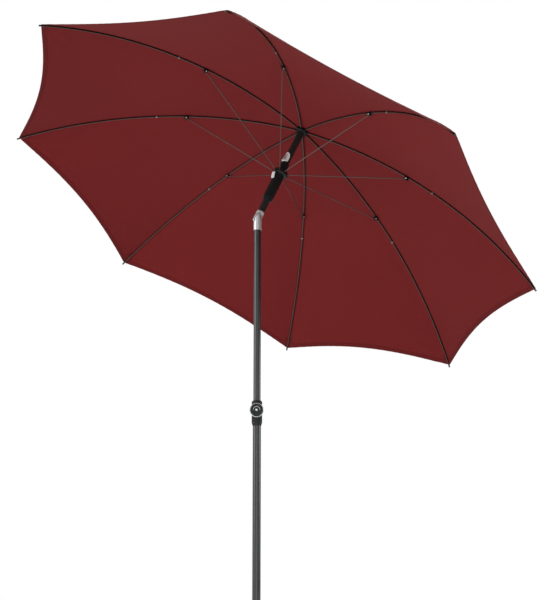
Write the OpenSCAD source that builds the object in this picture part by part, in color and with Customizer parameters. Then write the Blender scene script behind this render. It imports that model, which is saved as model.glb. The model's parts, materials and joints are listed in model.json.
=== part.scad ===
// Tilting patio umbrella on a round weighted base.
// The origin is the centre of the base's underside and +Z is up.
// The canopy is open and leans toward +X. All sizes are in millimetres.

/* [Canopy] */
// Radius of the open canopy at the rib tips
canopy_r = 1000; // [850:10:1050]
// Radius of the arc that each rib is bent to
rib_bend_r = 1673; // [1600:1:2200]
// Slope of a rib where it leaves the hub, in degrees
rib_start_slope = 1.85; // [1.5:0.05:6]
// Diameter of a rib
rib_d = 5; // [4:0.5:5]
// Radius at which the stretchers meet the ribs
stretcher_r = 437; // [400:1:460]
// Diameter of a stretcher
stretcher_d = 3.6; // [3:0.2:5]
// How far the rim curves in between two rib tips
scallop = 35; // [0:1:60]
// How far the cloth hangs below a straight line between two ribs, at the rim
cloth_sag = 12.8; // [0:0.1:20]
// Thickness of the cloth solid
cloth_t = 1; // [1:0.5:2]

/* [Tilt] */
// Height of the tilt pivot above the ground
pivot_h = 1740; // [1700:10:1800]
// Angle that the canopy leans at
tilt = 28.5; // [0:0.1:35]
// Distance from the pivot to the hub, along the upper tube
hub_up = 411.9; // [400:0.1:440]
// Distance from the pivot to the runner's wire, along the upper tube
runner_up = 209.3; // [195:0.1:215]

/* [Pole] */
// Outside diameter of the lower tube
lower_tube_d = 28; // [28:1:28]
// Outside diameter of the middle and upper tubes
mid_tube_d = 25; // [25:1:25]
// Wall of every pole tube
tube_wall = 1.2; // [1:0.1:1.2]
// Distance from the pivot down to the top of the height collar
collar_drop = 650; // [600:1:700]
// Length of the height collar
collar_l = 86; // [80:1:100]
// Direction that both clamp knobs face, in degrees from +X
knob_azimuth = -126.3; // [-180:0.1:180]

/* [Base] */
// Diameter of the weight
base_d = 480; // [400:10:600]
// Outside diameter of the steel socket
socket_d = 48; // [48:1:50]
// Height of the top of the socket
socket_top = 400; // [380:5:400]

/* [Hidden] */
$fn = 64;

// Colours
CLOTH_RED = [0.42, 0.10, 0.11];
ANTHRACITE = [0.27, 0.27, 0.28];
BLACK = [0.09, 0.09, 0.09];
SILVER = [0.75, 0.75, 0.76];
STONE = [0.52, 0.51, 0.50];

// Clearances
free_gap = 0.3;
fit_gap = 0.1;
cut = 1;

// Ribs and spokes
rib_count = 8;
spoke_step = 360 / rib_count;
wire_r = 1;
eye_r = 3.2;
eye_t = 2.4;
wire_bore_r = 1.3;
slot_w = 3.2;
rib_r = rib_d / 2;
hub_ring_r = 17;
hub_r = 22.5;
rib_rod_start = 26;
runner_ring_r = 22;
crown_r = 26.5;
stretcher_rod_start = 9;

// Rib fittings
bracket_l = 16;
bracket_w = 9.2;
bracket_top = 3.2;
bracket_bottom = -12;
pin_drop = 7.5;
pin_r = 1.5;
pin_bore_r = 2;
clip_r = 545;
tip_r = 3.4;
tip_l = 18;

// Cloth solid
cloth_lift = 4.2;
cloth_start_r = 26;
cloth_rows = 20;
cloth_columns = 6;
gore_share = 0.475;

// Pole tubes
lower_r = lower_tube_d / 2;
mid_r = mid_tube_d / 2;
mid_bore_r = mid_r - tube_wall;
lower_bore_r = lower_r - tube_wall;
collar_bottom = pivot_h - collar_drop - collar_l;
knob_h = pivot_h - collar_drop - 36;
lower_tube_top = collar_bottom + 42;
mid_tube_bottom = pivot_h - 980;
ferrule_r = 14.3;

// Base
foot_h = 6;
bore_floor = 30;
seat_h = 80;
flange_t = 4;
flange_r = 58;
bolt_ring_r = 42;
socket_r = socket_d / 2;
socket_bore_r = socket_r - 2;
base_knob_h = socket_top - 40;
boss_l = 34;

// A point on a rib's centre line, where the slope is a degrees
function rib_point(a) = [
    rib_bend_r * (sin(a) - sin(rib_start_slope)),
    rib_bend_r * (cos(a) - cos(rib_start_slope))
];
// The slope of a rib at distance r from the axis
function rib_slope(r) = asin(r / rib_bend_r + sin(rib_start_slope));

// Puts children in the frame of the tilted upper tube, with its origin at the pivot
module tilted() {
    translate([0, 0, pivot_h]) rotate([0, tilt, 0]) children();
}

// Puts children in the plane of spoke k, in the tilted frame
module spoke(k) {
    tilted() rotate([0, 0, 180 + spoke_step * (k - 1)]) children();
}

// Puts children at the rib's centre line at radius r, with X along the rib
module on_rib(r) {
    p = rib_point(rib_slope(r));
    translate([p[0], 0, hub_up + p[1]]) rotate([0, rib_slope(r), 0]) children();
}

// Puts children on a clamp's axis at height h, with Z pointing away from the pole
module facing_out(h) {
    translate([0, 0, h]) rotate([0, 0, knob_azimuth]) rotate([0, 90, 0]) children();
}

module tube(r, bore_r, bottom, top) {
    translate([0, 0, bottom]) difference() {
        cylinder(r = r, h = top - bottom);
        translate([0, 0, -cut]) cylinder(r = bore_r, h = top - bottom + 2 * cut);
    }
}

// A flat eye around Y, with its centre at the origin
module eye(bore_r) {
    rotate([90, 0, 0]) translate([0, 0, -eye_t / 2]) difference() {
        cylinder(r = eye_r, h = eye_t);
        translate([0, 0, -cut]) cylinder(r = bore_r, h = eye_t + 2 * cut);
    }
}

module rounded_slab(w, l, r, h) {
    linear_extrude(h) union() {
        square([w - 2 * r, l], center = true);
        square([w, l - 2 * r], center = true);
        for (x = [-1, 1], y = [-1, 1]) translate([x * (w / 2 - r), y * (l / 2 - r)]) circle(r);
    }
}

// ---- Base ----

module base_weight() {
    edge_r = 14;
    rim_h = 60;
    color(STONE) difference() {
        rotate_extrude() difference() {
            union() {
                polygon([
                    [0, foot_h], [base_d / 2 - 4, foot_h], [base_d / 2, foot_h + 4],
                    [base_d / 2, rim_h - edge_r], [base_d / 2 - edge_r, rim_h],
                    [flange_r + 8, seat_h], [0, seat_h]
                ]);
                translate([base_d / 2 - edge_r, rim_h - edge_r]) circle(edge_r);
            }
            translate([-1, bore_floor]) square([socket_r + free_gap + 1, seat_h]);
            translate([-2 * edge_r, 0]) square([2 * edge_r, seat_h + 1]);
        }
        for (i = [0:3]) rotate([0, 0, 45 + 90 * i]) translate([bolt_ring_r, 0, seat_h - 34])
            cylinder(r = 4.3, h = 34 + cut);
    }
}

module foot() {
    rotate_extrude() polygon([[0, 0], [15, 0], [17, 2], [17, foot_h], [0, foot_h]]);
}

module base_feet() {
    color(BLACK) {
        foot();
        for (i = [0:5]) rotate([0, 0, 60 * i]) translate([base_d / 2 - 42, 0, 0]) foot();
    }
}

module base_socket() {
    color(ANTHRACITE) difference() {
        union() {
            translate([0, 0, bore_floor]) cylinder(r = socket_r, h = socket_top - bore_floor);
            translate([0, 0, seat_h]) cylinder(r = flange_r, h = flange_t);
            translate([0, 0, seat_h + flange_t]) cylinder(r1 = socket_r + 4, r2 = socket_r, h = 4);
            facing_out(base_knob_h) cylinder(r = 11, h = boss_l);
        }
        translate([0, 0, bore_floor - cut]) cylinder(r = socket_bore_r, h = socket_top);
        facing_out(base_knob_h) cylinder(r = 5 + free_gap, h = boss_l + cut);
        for (i = [0:3]) rotate([0, 0, 45 + 90 * i]) translate([bolt_ring_r, 0, seat_h - cut])
            cylinder(r = 4.5, h = flange_t + 2 * cut);
    }
}

module base_bolts() {
    washer_t = 1.6;
    color(SILVER) for (i = [0:3]) rotate([0, 0, 45 + 90 * i]) translate([bolt_ring_r, 0, 0]) {
        translate([0, 0, seat_h - 30]) cylinder(r = 4, h = 30 + flange_t + cut);
        translate([0, 0, seat_h + flange_t]) cylinder(r = 8, h = washer_t);
        translate([0, 0, seat_h + flange_t + washer_t]) cylinder(r = 7.5, h = 5.3, $fn = 6);
    }
}

module reducer_sleeve() {
    sleeve_bottom = 120;
    lip_t = 6;
    color(BLACK) difference() {
        union() {
            translate([0, 0, sleeve_bottom])
                cylinder(r = socket_bore_r - free_gap, h = socket_top - sleeve_bottom);
            translate([0, 0, socket_top]) cylinder(r1 = socket_r + 2, r2 = socket_r, h = lip_t);
        }
        translate([0, 0, sleeve_bottom - cut])
            cylinder(r = lower_r + free_gap, h = socket_top - sleeve_bottom + lip_t + 2 * cut);
        translate([-1.5, -socket_r, sleeve_bottom - cut]) cube([3, socket_d, 180]);
    }
}

module base_knob() {
    lobe_count = 5;
    color(BLACK) facing_out(base_knob_h) difference() {
        union() {
            translate([0, 0, boss_l + 1.5]) cylinder(r = 9, h = 8);
            translate([0, 0, boss_l + 7]) linear_extrude(15) union() {
                circle(17);
                for (i = [0:lobe_count - 1]) rotate([0, 0, i * 360 / lobe_count])
                    translate([15, 0]) circle(8);
            }
            translate([0, 0, boss_l + 22]) cylinder(r1 = 14, r2 = 11, h = 3);
        }
        translate([0, 0, boss_l]) cylinder(r = 5 + fit_gap, h = 16);
    }
}

module base_screw() {
    tip = socket_bore_r + 0.2;
    color(SILVER) facing_out(base_knob_h) translate([0, 0, tip]) {
        cylinder(r1 = 4, r2 = 5, h = 1);
        translate([0, 0, 1]) cylinder(r = 5, h = boss_l + 14 - tip);
    }
}

// ---- Lower pole ----

module foot_plug() {
    color(BLACK) rotate_extrude() polygon([
        [0, bore_floor], [lower_r - 2, bore_floor], [lower_r, bore_floor + 2],
        [lower_r, bore_floor + 5], [lower_bore_r - fit_gap, bore_floor + 5],
        [lower_bore_r - fit_gap, bore_floor + 36], [lower_bore_r - 2, bore_floor + 40],
        [0, bore_floor + 40]
    ]);
}

module lower_tube() {
    color(ANTHRACITE) tube(lower_r, lower_bore_r, bore_floor + 5, lower_tube_top);
}

module collar() {
    top = collar_l;
    boss_end = 24;
    color(BLACK) difference() {
        union() {
            translate([0, 0, collar_bottom]) rotate_extrude() polygon([
                [0, 0], [lower_r + 0.8, 0], [17.5, 8], [17.5, top - 27], [16.9, top - 23],
                [16.9, top - 13], [18.2, top - 10], [18.2, top - 4], [15, top], [0, top]
            ]);
            facing_out(knob_h) cylinder(r = 12, h = boss_end);
        }
        translate([0, 0, collar_bottom - cut])
            cylinder(r = lower_r + fit_gap, h = lower_tube_top - collar_bottom + cut);
        translate([0, 0, collar_bottom]) cylinder(r = mid_r + free_gap, h = collar_l + cut);
        facing_out(knob_h) cylinder(r = 4 + free_gap, h = boss_end + cut);
    }
}

module height_knob() {
    color(BLACK) facing_out(knob_h) difference() {
        rotate_extrude() polygon([
            [0, 24.8], [10, 24.8], [10, 27.5], [21, 27.5], [22, 28.5], [22, 41], [20, 43],
            [15, 43.6], [14, 42.6], [11, 42.6], [10, 43.8], [0, 44.6]
        ]);
        translate([0, 0, 20]) cylinder(r = 4 + fit_gap, h = 18);
    }
}

module knob_ring() {
    color(SILVER) facing_out(knob_h) rotate_extrude() polygon([
        [22 + fit_gap, 29], [23.2, 29], [24.3, 30.2], [24.3, 34], [23.2, 35.2], [22 + fit_gap, 35.2]
    ]);
}

module height_screw() {
    tip = mid_r + 0.4;
    color(SILVER) facing_out(knob_h) translate([0, 0, tip]) {
        cylinder(r1 = 3, r2 = 4, h = 1);
        translate([0, 0, 1]) cylinder(r = 4, h = 36 - tip);
    }
}

// ---- Middle pole and knuckle ----

module mid_tube() {
    color(ANTHRACITE) tube(mid_r, mid_bore_r, mid_tube_bottom, pivot_h - 18.5);
}

module guide_plug() {
    color(BLACK) translate([0, 0, mid_tube_bottom]) rotate_extrude() polygon([
        [0, -8], [mid_r - 2, -8], [mid_r, -6], [mid_r, 0], [mid_bore_r - fit_gap, 0],
        [mid_bore_r - fit_gap, 34], [0, 34]
    ]);
}

cheek_y = 8.9;
web_top = -13.5;
cheek_outline = [
    [-12.5, web_top - cut], [-12.5, 0], [-9, 8], [1, 18], [3, 18.8], [5, 18], [11.2, 6],
    [12.5, 0], [12.5, web_top - cut]
];
button_drop = 7;

module lower_knuckle() {
    color(SILVER) translate([0, 0, pivot_h]) difference() {
        union() {
            translate([0, 0, -44]) cylinder(r = ferrule_r, h = 44 + web_top);
            intersection() {
                translate([0, 0, web_top - cut]) cylinder(r = ferrule_r, h = 40);
                union() {
                    for (side = [-1, 1]) translate([0, side > 0 ? ferrule_r : -cheek_y, 0])
                        rotate([90, 0, 0]) linear_extrude(ferrule_r - cheek_y)
                            polygon(cheek_outline);
                    translate([-ferrule_r, -ferrule_r, web_top - cut])
                        cube([3.1, 2 * ferrule_r, cut - web_top - 1]);
                }
            }
        }
        translate([0, 0, -44 - cut]) cylinder(r = mid_r + fit_gap, h = 26 + cut);
        rotate([90, 0, 0]) translate([0, 0, -20]) cylinder(r = 3.05, h = 40);
        translate([-20, 0, -button_drop]) rotate([0, 90, 0]) cylinder(r = 4.9, h = 9);
    }
}

module tilt_pin() {
    color(SILVER) translate([0, 0, pivot_h]) rotate([90, 0, 0]) {
        translate([0, 0, -15]) cylinder(r = 3, h = 30);
        for (side = [-1, 1]) translate([0, 0, side > 0 ? 14.4 : -15.8]) cylinder(r = 4.5, h = 1.4);
    }
}

module tilt_button() {
    color(SILVER) translate([0, 0, pivot_h - button_drop]) rotate([0, -90, 0]) {
        translate([0, 0, 12]) cylinder(r = 2, h = 2);
        translate([0, 0, 13.5]) cylinder(r = 4.5, h = 4.1);
        translate([0, 0, 17.6]) cylinder(r1 = 4.5, r2 = 3.5, h = 0.9);
    }
}

module upper_knuckle() {
    ferrule_bottom = 20.5;
    tube_seat = 22;
    color(SILVER) tilted() difference() {
        union() {
            intersection() {
                cylinder(r = ferrule_r, h = 60, center = true);
                union() {
                    rotate([90, 0, 0]) translate([0, 0, free_gap - cheek_y])
                        linear_extrude(2 * (cheek_y - free_gap)) union() {
                            circle(10.5);
                            translate([-12.3, 0]) square([24.6, ferrule_bottom + cut]);
                        }
                    translate([0, 0, ferrule_bottom]) cylinder(r = ferrule_r, h = 6.5);
                }
            }
        }
        difference() {
            translate([0, 0, tube_seat]) cylinder(r = mid_r + fit_gap, h = 40);
            translate([0, 0, tube_seat - cut]) cylinder(r = mid_bore_r - fit_gap, h = 42);
        }
        translate([0, 0, 27]) cylinder(r = ferrule_r + cut, h = 40);
        rotate([90, 0, 0]) translate([0, 0, -20]) cylinder(r = 3.08, h = 40);
    }
    color(SILVER) tilted() translate([0, 0, 27]) cylinder(r = mid_bore_r - fit_gap, h = 30);
}

// ---- Upper tube, hub and finial ----

catch_bottom = 260;
catch_top = 292;
catch_half_w = 7.5;

module upper_tube() {
    color(ANTHRACITE) tilted() difference() {
        tube(mid_r, mid_bore_r, 22, hub_up - 11);
        translate([-2 * mid_r, -catch_half_w - 0.4, catch_bottom - 1])
            cube([2 * mid_r, 2 * catch_half_w + 0.8, catch_top - catch_bottom + 2]);
    }
}

module spring_catch() {
    color(SILVER) tilted() rotate([90, 0, 0]) translate([0, 0, -catch_half_w])
        linear_extrude(2 * catch_half_w) polygon([
            [-7, catch_bottom], [-15.8, catch_bottom], [-16.6, catch_bottom + 0.8],
            [-16.6, catch_bottom + 5], [-14.8, catch_bottom + 16], [-12.5, catch_top], [-7, catch_top]
        ]);
}

module hub() {
    color(BLACK) tilted() translate([0, 0, hub_up]) difference() {
        union() {
            rotate_extrude() polygon([
                [0, -45], [10, -45], [mid_bore_r - fit_gap, -43], [mid_bore_r - fit_gap, -11],
                [mid_r + 2, -11], [hub_r - 2, -8], [hub_r, -6], [hub_r, 3.5], [hub_r - 2, 5.5],
                [0, 5.5]
            ]);
        }
        rotate_extrude() translate([hub_ring_r, 0]) circle(wire_r + fit_gap);
        for (k = [1:rib_count]) rotate([0, 0, spoke_step * k])
            translate([hub_ring_r - 4.5, -slot_w / 2, -5]) cube([12, slot_w, 12]);
        translate([0, 0, -12]) cylinder(r = 4 + fit_gap, h = 20);
    }
}

module hub_wire() {
    color(SILVER) tilted() translate([0, 0, hub_up])
        rotate_extrude() translate([hub_ring_r, 0]) circle(wire_r);
}

module finial() {
    color(BLACK) tilted() translate([0, 0, hub_up]) {
        translate([0, 0, -10]) cylinder(r = 4, h = 16.5);
        rotate_extrude() polygon([
            [0, 5.6], [21, 5.6], [24, 7.6], [31, 7.6], [31.5, 9], [28, 11.5], [16, 16],
            [9, 20], [7, 24], [0, 24]
        ]);
        translate([0, 0, 31]) sphere(r = 9.5);
    }
}

// ---- Runner ----

// The button's face leans inward at its lower end by this angle
lever_lean = 18;
// Middle of the button's seat, as radius and height from the runner's wire
lever_face = [-22.75, -24.75];
// Half the length of the seat, and its width
lever_half = 14;
lever_w = 23;

// Puts children on the button's face, with Z pointing out and X running up along the button
module on_lever() {
    tilted() translate([lever_face[0], 0, runner_up + lever_face[1]]) rotate([0, -90 - lever_lean, 0])
        children();
}

// The raised seat of the button, as an outline in the plane of its middle
module lever_seat() {
    along = lever_half * [-sin(lever_lean), cos(lever_lean)];
    rotate([90, 0, 0]) translate([0, 0, -lever_w / 2]) linear_extrude(lever_w) polygon([
        [-14, -41], [-17.9, -40], lever_face - along, lever_face + along, [-27, -8.5], [-25, -6], [-14, -6]
    ]);
}

module runner() {
    bore_r = mid_r + free_gap;
    color(BLACK) difference() {
        tilted() translate([0, 0, runner_up]) difference() {
            union() {
                rotate_extrude() difference() {
                    polygon([
                        [bore_r, -119], [19.6, -119], [19.6, -113], [19, -112], [19, -12],
                        [crown_r - 2, -9.5], [crown_r, -7.5], [crown_r, 5], [crown_r - 2, 7],
                        [18.5, 9], [16.5, 14], [15.5, 42], [14.5, 46], [bore_r, 46]
                    ]);
                    translate([mid_r, -119 - cut]) square([16.6 - mid_r, 60 + cut]);
                }
                lever_seat();
            }
            translate([0, 0, -50]) cylinder(r = bore_r, h = 60);
            rotate_extrude() translate([runner_ring_r, 0]) circle(wire_r + fit_gap);
            for (k = [1:rib_count]) rotate([0, 0, spoke_step * k])
                translate([runner_ring_r - 4, -slot_w / 2, -4.5]) cube([12, slot_w, 16]);
        }
        on_lever() translate([0, 0, -4.8]) rounded_slab(25, 19, 4, 20);
    }
}

module runner_wire() {
    color(SILVER) tilted() translate([0, 0, runner_up])
        rotate_extrude() translate([runner_ring_r, 0]) circle(wire_r);
}

module runner_button() {
    color(SILVER) on_lever() translate([0, 0, -2.4]) {
        difference() {
            rounded_slab(24, 18, 3.5, 3.4);
            translate([0, 0, -cut]) cylinder(r = 3.6, h = 2 + cut);
        }
        translate([0, 0, 3.4]) rounded_slab(22.6, 16.6, 2.8, 0.8);
    }
}

// The return spring behind the runner's button, one ring for each of its turns
module button_spring() {
    turns = 3;
    color(SILVER) on_lever() for (i = [0:turns - 1]) translate([0, 0, i - 4.1])
        rotate_extrude() translate([2.6, 0]) circle(0.5);
}

// ---- Ribs, stretchers and cloth ----

module rib(k) {
    rod_start = rib_slope(rib_rod_start);
    rod_end = rib_slope(canopy_r);
    ring = rib_slope(hub_ring_r);
    color(BLACK) spoke(k) {
        translate([-rib_bend_r * sin(rib_start_slope), 0, hub_up - rib_bend_r * cos(rib_start_slope)])
            rotate([90, 0, 0]) rotate([0, 0, 90 - rod_end])
                rotate_extrude(angle = rod_end - rod_start, $fn = 900)
                    translate([rib_bend_r, 0]) circle(rib_r, $fn = 24);
        translate([hub_ring_r, 0, hub_up]) eye(wire_bore_r);
        difference() {
            on_rib(hub_ring_r) translate([0, -eye_t / 2, -rib_r])
                cube([rib_rod_start - hub_ring_r + 3, eye_t, 2 * rib_r]);
            translate([hub_ring_r, 0, hub_up]) rotate([90, 0, 0]) translate([0, 0, -eye_t])
                cylinder(r = wire_bore_r, h = 2 * eye_t);
        }
    }
}

// The stretcher's bracket with its rivet, a cloth clip and the rib's tip
module rib_fittings(k) {
    color(BLACK) spoke(k) {
        on_rib(stretcher_r) {
            difference() {
                translate([-bracket_l / 2, -bracket_w / 2, bracket_bottom])
                    cube([bracket_l, bracket_w, bracket_top - bracket_bottom]);
                rotate([0, 90, 0]) cylinder(r = rib_r + fit_gap, h = 4 * bracket_l, center = true);
                translate([-bracket_l, -slot_w / 2, bracket_bottom - cut])
                    cube([2 * bracket_l, slot_w, 9]);
            }
            translate([0, 0, -pin_drop]) rotate([90, 0, 0]) {
                cylinder(r = pin_r, h = bracket_w, center = true);
                for (side = [0, 180]) rotate([side, 0, 0]) translate([0, 0, bracket_w / 2 - 0.1])
                    cylinder(r1 = 2.6, r2 = 1.8, h = 1.1);
            }
        }
        on_rib(clip_r) rotate([0, 90, 0]) tube(tip_r, rib_r + fit_gap, -4, 4);
        on_rib(canopy_r) rotate([0, 90, 0]) difference() {
            union() {
                translate([0, 0, 4 - tip_l]) cylinder(r = tip_r, h = tip_l);
                translate([0, 0, 4]) sphere(r = tip_r);
            }
            translate([0, 0, -2 * tip_l]) cylinder(r = rib_r + fit_gap, h = 2 * tip_l + 0.2);
        }
    }
}

module stretcher(k) {
    slope = rib_slope(stretcher_r);
    joint = rib_point(slope) + pin_drop * [-sin(slope), -cos(slope)];
    run = joint[0] - runner_ring_r;
    rise = hub_up + joint[1] - runner_up;
    len = sqrt(run * run + rise * rise);
    strip_l = stretcher_rod_start + 2;
    color(ANTHRACITE) spoke(k) translate([runner_ring_r, 0, runner_up]) rotate([0, -atan2(rise, run), 0]) {
        translate([stretcher_rod_start, 0, 0]) rotate([0, 90, 0])
            cylinder(r = stretcher_d / 2, h = len - 22 - stretcher_rod_start);
        eye(wire_bore_r);
        translate([wire_bore_r + 0.6, -eye_t / 2, -stretcher_d / 2]) cube([strip_l, eye_t, stretcher_d]);
        translate([len, 0, 0]) eye(pin_bore_r);
        translate([len - 24, -eye_t / 2, -stretcher_d / 2])
            cube([24 - pin_bore_r - 0.4, eye_t, stretcher_d]);
    }
}

// How strongly a place between two ribs, at share t of the way across, is pulled in
function between(t) = pow(4 * t * (1 - t), 1.15);

// A point of the cloth at share u of the way out and share t (-0.5 to 0.5) across
function cloth_point(u, t, lift) =
    let (
        b = between(abs(t)),
        r = cloth_start_r + (canopy_r - cloth_start_r) * u * (1 - scallop * b / canopy_r / cos(spoke_step / 2)),
        slope = rib_slope(r),
        x = r * (1 - abs(t) * (1 - cos(spoke_step))),
        y = r * t * sin(spoke_step)
    )
    [x, y, hub_up + rib_point(slope)[1] - cloth_sag * b * u + lift / cos(slope)];

module canopy(k) {
    columns = cloth_columns + 1;
    sheet_size = columns * (cloth_rows + 1);
    points = [
        for (lift = [cloth_lift, cloth_lift + cloth_t], i = [0:cloth_rows], j = [0:cloth_columns])
            cloth_point(i / cloth_rows, gore_share * (2 * j / cloth_columns - 1), lift)
    ];
    under = [
        for (i = [0:cloth_rows - 1], j = [0:cloth_columns - 1])
            let (a = i * columns + j, b = a + 1, c = a + columns, d = c + 1)
            each [[a, c, b], [b, c, d]]
    ];
    over = [for (f = under) [f[2] + sheet_size, f[1] + sheet_size, f[0] + sheet_size]];
    sides = [
        for (i = [0:cloth_rows - 1])
            let (a = i * columns, c = a + columns, d = a + cloth_columns, e = c + cloth_columns)
            each [
                [a, a + sheet_size, c], [c, a + sheet_size, c + sheet_size],
                [d, e, d + sheet_size], [e, e + sheet_size, d + sheet_size]
            ]
    ];
    ends = [
        for (j = [0:cloth_columns - 1])
            let (a = j, b = j + 1, c = cloth_rows * columns + j, d = c + 1)
            each [
                [a, b, a + sheet_size], [b, b + sheet_size, a + sheet_size],
                [c, c + sheet_size, d], [d, c + sheet_size, d + sheet_size]
            ]
    ];
    color(CLOTH_RED) spoke(k) polyhedron(points, concat(under, over, sides, ends), convexity = 4);
}

base_weight();
base_feet();
base_socket();
base_bolts();
reducer_sleeve();
base_knob();
base_screw();
foot_plug();
lower_tube();
collar();
height_knob();
knob_ring();
height_screw();
mid_tube();
guide_plug();
lower_knuckle();
tilt_pin();
tilt_button();
upper_knuckle();
upper_tube();
spring_catch();
hub();
hub_wire();
finial();
runner();
runner_wire();
runner_button();
button_spring();
for (k = [1:rib_count]) {
    rib(k);
    rib_fittings(k);
    stretcher(k);
    canopy(k);
}
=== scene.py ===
import json
import math

import bpy
import numpy as np
from mathutils import Matrix, Vector


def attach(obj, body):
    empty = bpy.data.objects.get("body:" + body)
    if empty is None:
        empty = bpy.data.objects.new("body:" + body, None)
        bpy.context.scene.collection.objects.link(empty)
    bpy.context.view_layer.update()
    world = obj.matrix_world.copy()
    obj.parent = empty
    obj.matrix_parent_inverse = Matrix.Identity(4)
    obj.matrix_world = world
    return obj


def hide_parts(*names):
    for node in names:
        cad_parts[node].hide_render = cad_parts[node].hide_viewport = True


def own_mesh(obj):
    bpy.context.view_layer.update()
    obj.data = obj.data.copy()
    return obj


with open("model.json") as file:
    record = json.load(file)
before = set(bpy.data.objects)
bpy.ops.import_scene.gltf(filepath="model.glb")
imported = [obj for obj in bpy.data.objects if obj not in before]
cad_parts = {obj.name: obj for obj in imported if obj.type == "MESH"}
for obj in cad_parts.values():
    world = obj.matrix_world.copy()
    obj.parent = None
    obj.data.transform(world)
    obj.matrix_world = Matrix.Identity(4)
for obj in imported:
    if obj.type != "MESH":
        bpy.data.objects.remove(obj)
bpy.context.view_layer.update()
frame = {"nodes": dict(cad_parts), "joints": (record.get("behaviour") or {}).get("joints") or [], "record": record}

# A tilting patio umbrella: eight cloth gores on curved steel ribs, a sliding runner, a tilt knuckle,
# a two-part pole with a screw collar, and a round weighted base.
# New pieces are worked out in millimetres and placed in metres. A spoke is a rib with its stretcher and
# its gore of cloth. Its own directions are out, across and up, measured from the middle of the hub.

MM = 0.001
SPOKES = range(1, 9)


# ---- The tilted head, from the CAD's joints ----

def unit(vector):
    return vector / np.linalg.norm(vector)


JOINTS = {joint["name"]: joint for joint in frame["joints"]}


def joint_place(name):
    return np.array(JOINTS[name]["pos_m"])


def joint_axis(name):
    return unit(np.array(JOINTS[name]["axis"], float))


PIVOT = joint_place("tilt")
UP = joint_axis("runner_slide")
RIB_ROOTS = {k: joint_place(f"rib_hinge_{k}") for k in SPOKES}
RUNNER_ROOTS = {k: joint_place(f"stretcher_hinge_{k}") for k in SPOKES}
HUB = sum(RIB_ROOTS.values()) / len(SPOKES)
OUT = {k: unit(RIB_ROOTS[k] - HUB) for k in SPOKES}
SIDE = {k: np.cross(UP, OUT[k]) for k in SPOKES}
HUB_UP = float(np.linalg.norm(HUB - PIVOT)) / MM
RUNNER_DROP = float((sum(RUNNER_ROOTS.values()) / len(SPOKES) - HUB) @ UP) / MM

# Sizes that the CAD source also has, in millimetres and radians
CANOPY_R = 1000.0  # from the middle to a rib's end
RIB_BEND_R = 1673.0  # of the ribs' curve
RIB_START = math.radians(1.85)  # slope of the ribs in the middle
STEP = math.radians(45)  # from spoke to spoke
SCALLOP = 35.0  # how far the rim curves in between two ribs
CLOTH_SAG = 12.8  # how far the cloth sags between two ribs
STRETCHER_R = 437.0  # from the middle to a rib's bracket
PIN_DROP = 7.5  # from the rib's centre line down to the bracket's pin
CLIP_R = 545.0  # from the middle to a rib's clip
RUNNER_RING_R = 22.0  # of the stretchers' pins on the runner
EYE_R = 3.2  # of the eyes of ribs and stretchers
KNOB_AZIMUTH = math.radians(-126.3)
KNOB_H = 1054.0
COLLAR_BOTTOM = 1004.0

# The across direction among a spoke's own
ACROSS = np.array([0.0, 1.0, 0.0])


def rib_slope(r):
    """How far the rib slopes down at radius r, in radians."""
    return np.arcsin(np.asarray(r) / RIB_BEND_R + math.sin(RIB_START))


def rib_rise(r):
    """Height of the rib's centre line at radius r."""
    return RIB_BEND_R * (np.cos(rib_slope(r)) - math.cos(RIB_START))


def rib_axes(r):
    """Point, direction outward and normal of the rib at radius r."""
    slope = float(rib_slope(r))
    point = np.array([r, 0, float(rib_rise(r))])
    along = np.array([math.cos(slope), 0, -math.sin(slope)])
    normal = np.array([math.sin(slope), 0, math.cos(slope)])
    return point, along, normal


def in_metres(k, points):
    """Places points given in spoke k's own directions."""
    axes = np.array([OUT[k], SIDE[k], UP])
    return HUB + (np.asarray(points, float) * MM) @ axes


# ---- Outlines ----

def smooth(low, high, x):
    """0 below low, 1 above high, and an even curve between."""
    s = np.clip((x - low) / (high - low), 0, 1)
    return s * s * (3 - 2 * s)


def full_turn(steps):
    """Evenly spaced angles of one turn."""
    return np.arange(steps) * 2 * math.pi / steps


def circle(angles, first, second):
    """Unit vectors at the angles, turning from first towards second."""
    return np.cos(angles)[:, None] * first + np.sin(angles)[:, None] * second


def arc(centre, radius, start, end, steps):
    """Points of an arc in a plane, with angles in degrees."""
    angles = np.radians(np.linspace(start, end, steps + 1))
    return [(centre[0] + radius * math.cos(a), centre[1] + radius * math.sin(a)) for a in angles]


# ---- Meshes ----

def build(name, verts, faces, uv=None, sharp=35):
    """A mesh object in the scene, smooth except where faces meet at more than sharp degrees."""
    mesh = bpy.data.meshes.new(name)
    mesh.from_pydata([tuple(v) for v in verts], [], faces)
    mesh.validate()
    mesh.shade_smooth()
    mesh.set_sharp_from_angle(angle=math.radians(sharp))
    if uv is not None:
        layer = mesh.uv_layers.new(name="cloth")
        index = np.zeros(len(mesh.loops), np.int32)
        mesh.loops.foreach_get("vertex_index", index)
        layer.data.foreach_set("uv", np.asarray(uv, np.float32)[index].ravel())
    obj = bpy.data.objects.new(name, mesh)
    bpy.context.scene.collection.objects.link(obj)
    return obj


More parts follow.
